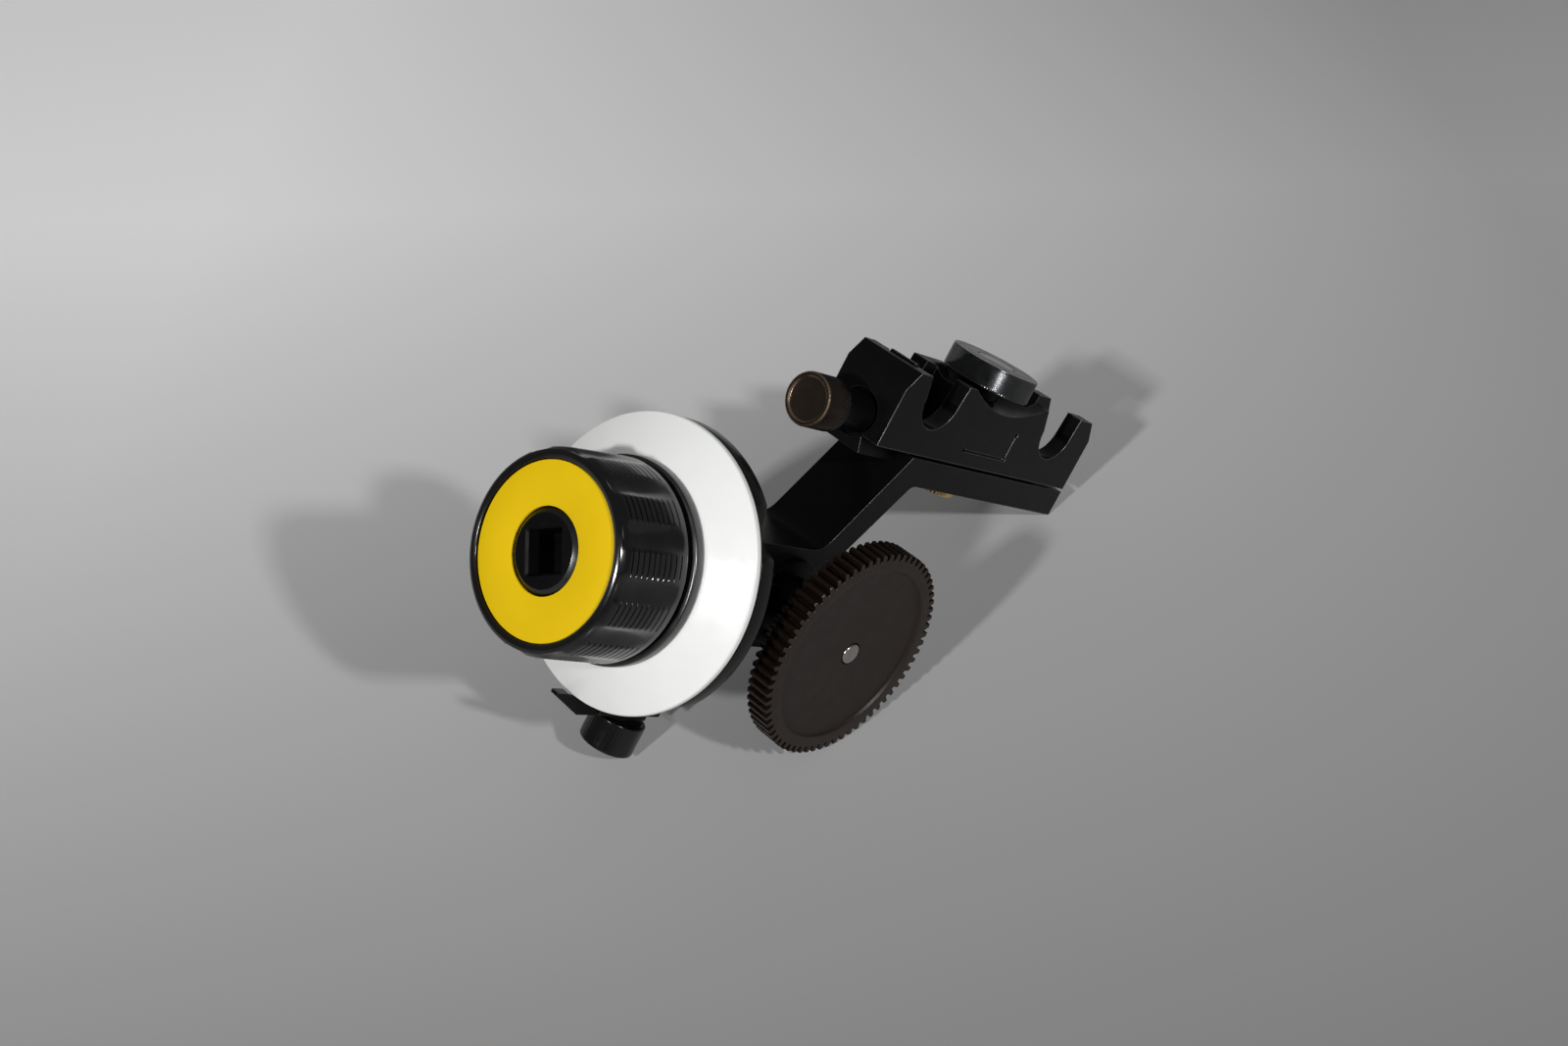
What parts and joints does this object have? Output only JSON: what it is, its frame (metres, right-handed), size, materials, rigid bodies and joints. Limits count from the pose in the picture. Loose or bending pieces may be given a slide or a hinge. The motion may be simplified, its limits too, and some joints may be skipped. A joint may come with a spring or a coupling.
{
  "type": "lens follow focus",
  "caption": "Lens follow focus with a grooved hand wheel, white marking disc, side drive gear, angled gear box arm and a clamp block for paired 15 mm rods.",
  "frame": {"origin": "midway between the axes of the two 15 mm rods that the clamp block holds, at the middle of the block's depth", "axes": "+Y along the rods, away from the picture's viewer; +X along the hand wheel's shaft, from the wheel towards the clamp; +Z out of the mouths of the rod slots. The picture shows it lying on a table; on a rig it is turned over so that the slots open downwards."},
  "size_m": [0.1795, 0.0729, 0.1211],
  "materials": {
    "black_anodised": "satin black anodised",
    "black_gloss": "gloss black moulded",
    "dark_plated_steel": "dark plated, machined",
    "dark_bronze": "dark bronze, turned",
    "bright_steel": "bright turned",
    "brass": "turned",
    "gear_brown": "dark brown moulded",
    "white_plastic": "gloss white",
    "yellow_plate": "yellow, plain"
  },
  "bodies": {
    "rod_clamp": {"clamp_block": "black_anodised", "slide_rail": "dark_plated_steel", "rail_screw_left": "bright_steel", "rail_screw_right": "bright_steel", "knob_washer": "dark_plated_steel", "thumb_washer": "brass"},
    "arm": {"gearbox_housing": "black_anodised", "gearbox_cover": "black_anodised", "cover_screw_left_top": "bright_steel", "cover_screw_right_top": "bright_steel", "cover_screw_left_floor": "bright_steel", "cover_screw_right_floor": "bright_steel", "barrel_plate": "black_anodised", "barrel_screw_near_floor": "bright_steel", "barrel_screw_near_top": "bright_steel", "barrel_screw_far_floor": "bright_steel", "barrel_screw_far_top": "bright_steel", "wheel_barrel": "black_anodised", "wheel_bearing_front": "bright_steel", "wheel_bearing_rear": "bright_steel", "output_bush": "black_anodised", "bush_screw_1": "black_anodised", "bush_screw_2": "black_anodised", "bush_screw_3": "black_anodised", "output_bearing_front": "bright_steel", "output_bearing_rear": "bright_steel", "index_bracket": "black_anodised", "bracket_screw_1": "bright_steel", "bracket_screw_2": "bright_steel", "lock_nut": "bright_steel"},
    "wheel": {"hand_wheel": "black_gloss", "face_plate": "yellow_plate", "crank_socket": "black_gloss", "wheel_hub": "black_gloss", "wheel_shaft": "bright_steel", "wheel_bevel": "bright_steel", "disc_retainer": "dark_plated_steel"},
    "disc": {"marking_disc": "white_plastic", "grip_ring": "black_gloss", "friction_washer": "bright_steel"},
    "gear": {"drive_gear": "gear_brown", "gear_hub": "dark_plated_steel", "output_shaft": "bright_steel", "output_bevel": "bright_steel"},
    "pointer": {"index_pointer": "black_anodised"},
    "pointer_lock": {"lock_knob": "black_gloss", "lock_stud": "bright_steel"},
    "clamp_screw": {"clamp_knob": "dark_plated_steel", "clamp_knob_cap": "bright_steel", "clamp_stud": "bright_steel"},
    "clamp_nut": {"clamp_nut": "brass"},
    "thumb_screw": {"thumb_knob": "dark_bronze", "thumb_spindle": "bright_steel"},
    "rod_pad": {"rod_pad": "black_anodised"}
  },
  "joints": [
    {"name": "arm_slide", "type": "slide", "parent": "rod_clamp", "child": "arm", "axis": [1, 0, 0], "range_m": [-0.012, 0.012]},
    {"name": "wheel_spin", "type": "hinge", "parent": "arm", "child": "wheel", "pos_m": [-0.0557, 0, -0.0592], "axis": [1, 0, 0], "continuous": true},
    {"name": "gear_spin", "type": "hinge", "parent": "arm", "child": "gear", "pos_m": [-0.0557, 0, -0.0592], "axis": [0, 1, 0], "continuous": true},
    {"name": "disc_turn", "type": "hinge", "parent": "wheel", "child": "disc", "pos_m": [-0.0557, 0, -0.0592], "axis": [1, 0, 0], "continuous": true},
    {"name": "pointer_swing", "type": "hinge", "parent": "arm", "child": "pointer", "pos_m": [-0.0783, 0, -0.099], "axis": [0, 0, 1], "range_deg": [-12, 12]},
    {"name": "pointer_lock_turn", "type": "hinge", "parent": "arm", "child": "pointer_lock", "pos_m": [-0.0783, 0, -0.1045], "axis": [0, 0, 1], "range_deg": [-180, 0]},
    {"name": "clamp_knob_turn", "type": "hinge", "parent": "rod_clamp", "child": "clamp_screw", "pos_m": [0, 0, 0], "axis": [0, 0, 1], "range_deg": [0, 720]},
    {"name": "clamp_nut_travel", "type": "slide", "parent": "rod_clamp", "child": "clamp_nut", "axis": [0, 0, 1], "range_m": [-0.0015, 0]},
    {"name": "thumb_screw_turn", "type": "hinge", "parent": "rod_clamp", "child": "thumb_screw", "pos_m": [-0.06, 0, -0.0106], "axis": [1, 0, 0], "range_deg": [0, 617.2]},
    {"name": "rod_pad_travel", "type": "slide", "parent": "rod_clamp", "child": "rod_pad", "axis": [1, 0, 0], "range_m": [0, 0.0012]}
  ],
  "couplings": [
    {"joint": "gear_spin", "follows": "wheel_spin", "ratio": -1},
    {"joint": "clamp_knob_turn", "follows": "clamp_nut_travel", "rad_per_m": -8377.6},
    {"joint": "thumb_screw_turn", "follows": "rod_pad_travel", "rad_per_m": 8976}
  ]
}
